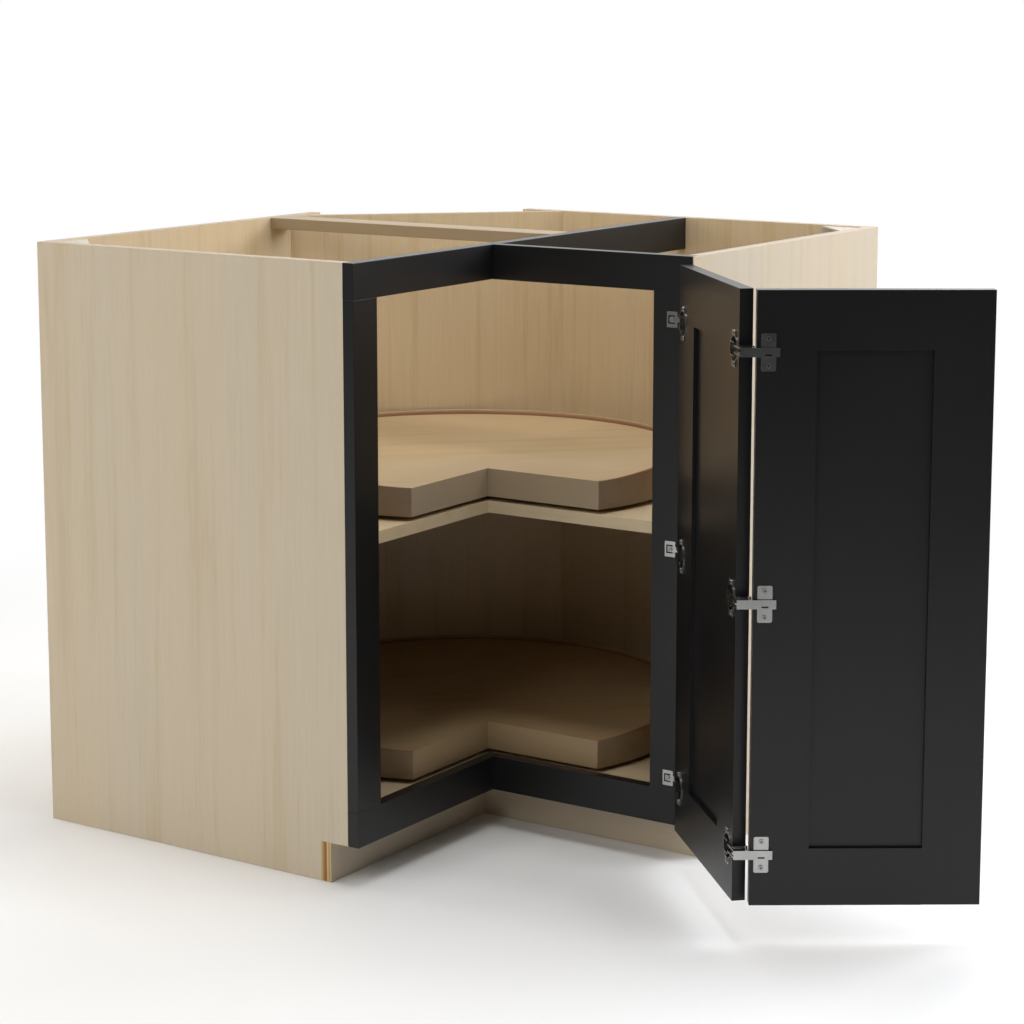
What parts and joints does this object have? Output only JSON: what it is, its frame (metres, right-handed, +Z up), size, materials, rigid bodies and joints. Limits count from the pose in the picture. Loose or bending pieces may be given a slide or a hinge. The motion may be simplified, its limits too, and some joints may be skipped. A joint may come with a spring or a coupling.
{
  "type": "corner carousel base cabinet",
  "caption": "L-shaped corner base cabinet with a folding pair of doors and notched round trays that turn on swivel bearings.",
  "frame": {"origin": "the room corner at floor level, where the two walls that the cabinet stands against meet", "axes": "+X along the rear wall away from the corner, +Y into the rear wall, +Z up; the side wall runs along -Y"},
  "size_m": [1.3918, 0.9144, 0.8763],
  "materials": {
    "maple": "pale maple veneer, satin lacquer",
    "deck": "warm maple veneer, satin lacquer",
    "toe": "plain plywood, unfinished edge",
    "tray": "wood-look laminate, satin",
    "tray_edge": "darker wood-look edge band",
    "black": "satin black paint on wood",
    "nickel": "nickel plate",
    "steel": "zinc plate",
    "white_plastic": "moulded white"
  },
  "bodies": {
    "cabinet": {"left_end_panel": "maple", "right_end_panel": "maple", "right_end_skin": "maple", "left_back_panel": "maple", "rear_back_panel": "maple", "diagonal_back_panel": "maple", "bottom_panel": "deck", "middle_shelf": "deck", "left_toe_board": "toe", "right_toe_board": "toe", "left_stile": "black", "right_stile": "black", "long_top_rail": "black", "right_top_rail": "black", "left_bottom_rail": "black", "right_bottom_rail": "black", "cross_stretcher": "maple", "corner_braces": "white_plastic", "brace_screws": "steel", "frame_hinge_plates": "nickel", "frame_plate_screws": "steel", "upper_swivel_base": "steel", "upper_swivel_balls": "steel", "upper_base_screws": "steel", "lower_swivel_base": "steel", "lower_swivel_balls": "steel", "lower_base_screws": "steel"},
    "hinged_leaf": {"hinged_leaf_outer_stile": "black", "hinged_leaf_inner_stile": "black", "hinged_leaf_top_rail": "black", "hinged_leaf_bottom_rail": "black", "hinged_leaf_panel": "black", "frame_hinge_cups": "nickel", "frame_hinge_pins": "steel", "fold_hinge_cups": "nickel", "fold_hinge_pins": "steel", "hinge_cup_screws": "steel"},
    "folding_leaf": {"folding_leaf_outer_stile": "black", "folding_leaf_inner_stile": "black", "folding_leaf_top_rail": "black", "folding_leaf_bottom_rail": "black", "folding_leaf_panel": "black", "fold_hinge_plates": "nickel", "fold_plate_screws": "steel"},
    "upper_turntable": {"upper_tray": "tray", "upper_tray_band": "tray_edge", "upper_swivel_top": "steel", "upper_tray_screws": "steel"},
    "lower_turntable": {"lower_tray": "tray", "lower_tray_band": "tray_edge", "lower_swivel_top": "steel", "lower_tray_screws": "steel"}
  },
  "joints": [
    {"name": "door_swing", "type": "hinge", "parent": "cabinet", "child": "hinged_leaf", "pos_m": [0.9072, -0.5901, 0.4621], "axis": [0, 0, 1], "range_deg": [-134.5, 0.5]},
    {"name": "door_fold", "type": "hinge", "parent": "hinged_leaf", "child": "folding_leaf", "pos_m": [1.12958, -0.80213, 0.4621], "axis": [0, 0, 1], "range_deg": [-0.05, 10.4]},
    {"name": "upper_tray_turn", "type": "hinge", "parent": "cabinet", "child": "upper_turntable", "pos_m": [0.426, -0.426, 0.4943], "axis": [0, 0, 1], "range_deg": [-360, 360]},
    {"name": "lower_tray_turn", "type": "hinge", "parent": "cabinet", "child": "lower_turntable", "pos_m": [0.426, -0.426, 0.1068], "axis": [0, 0, 1], "range_deg": [-360, 360]}
  ],
  "couplings": [
    {"joint": "door_fold", "follows": "door_swing", "ratio": -0.0773}
  ]
}
